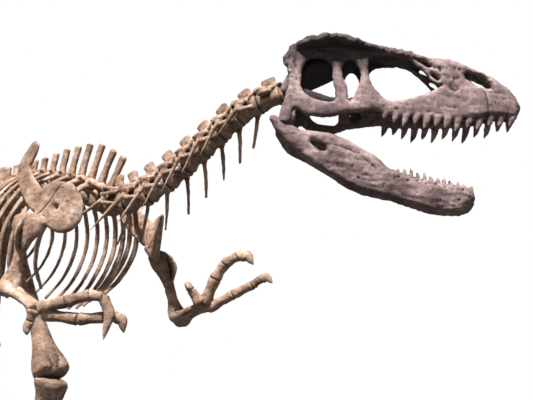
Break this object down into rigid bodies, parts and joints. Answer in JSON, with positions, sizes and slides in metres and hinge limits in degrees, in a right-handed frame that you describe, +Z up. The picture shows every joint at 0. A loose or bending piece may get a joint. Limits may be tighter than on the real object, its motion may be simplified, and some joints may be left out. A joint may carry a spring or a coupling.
{
  "type": "mounted dinosaur skeleton",
  "caption": "Life-size mounted skeleton of a large meat-eating dinosaur, striding on a flat base with its head turned to its left and its jaws open.",
  "frame": {"origin": "middle of the base's underside", "axes": "+X forward along the animal's trunk, +Y to its left, +Z up"},
  "size_m": [11.7054, 2.4888, 4.4882],
  "materials": {
    "skull_bone": "matte, pitted, grey-brown",
    "bone": "matte, pitted, warm tan",
    "stand": "satin"
  },
  "bodies": {
    "root": {"skull": "skull_bone", "lower_jaw_left": "skull_bone", "lower_jaw_right": "skull_bone", "neck_front": "bone", "neck_rear": "bone", "rib_cage_left": "bone", "rib_cage_right": "bone", "sacrum": "bone", "tail_1": "bone", "tail_2": "bone", "tail_3": "bone", "tail_4": "bone", "ilium_left": "bone", "pubis_left": "bone", "ischium_left": "bone", "thigh_left": "bone", "shin_left": "bone", "fibula_left": "bone", "instep_left": "bone", "toe_2_left": "bone", "toe_3_left": "bone", "toe_4_left": "bone", "toe_1_left": "bone", "ilium_right": "bone", "pubis_right": "bone", "ischium_right": "bone", "thigh_right": "bone", "shin_right": "bone", "fibula_right": "bone", "instep_right": "bone", "toe_2_right": "bone", "toe_3_right": "bone", "toe_4_right": "bone", "toe_1_right": "bone", "shoulder_left": "bone", "upper_arm_left": "bone", "ulna_left": "bone", "radius_left": "bone", "finger_1_left": "bone", "finger_2_left": "bone", "finger_3_left": "bone", "shoulder_right": "bone", "upper_arm_right": "bone", "ulna_right": "bone", "radius_right": "bone", "finger_1_right": "bone", "finger_2_right": "bone", "finger_3_right": "bone", "stand_base": "stand"}
  },
  "joints": []
}
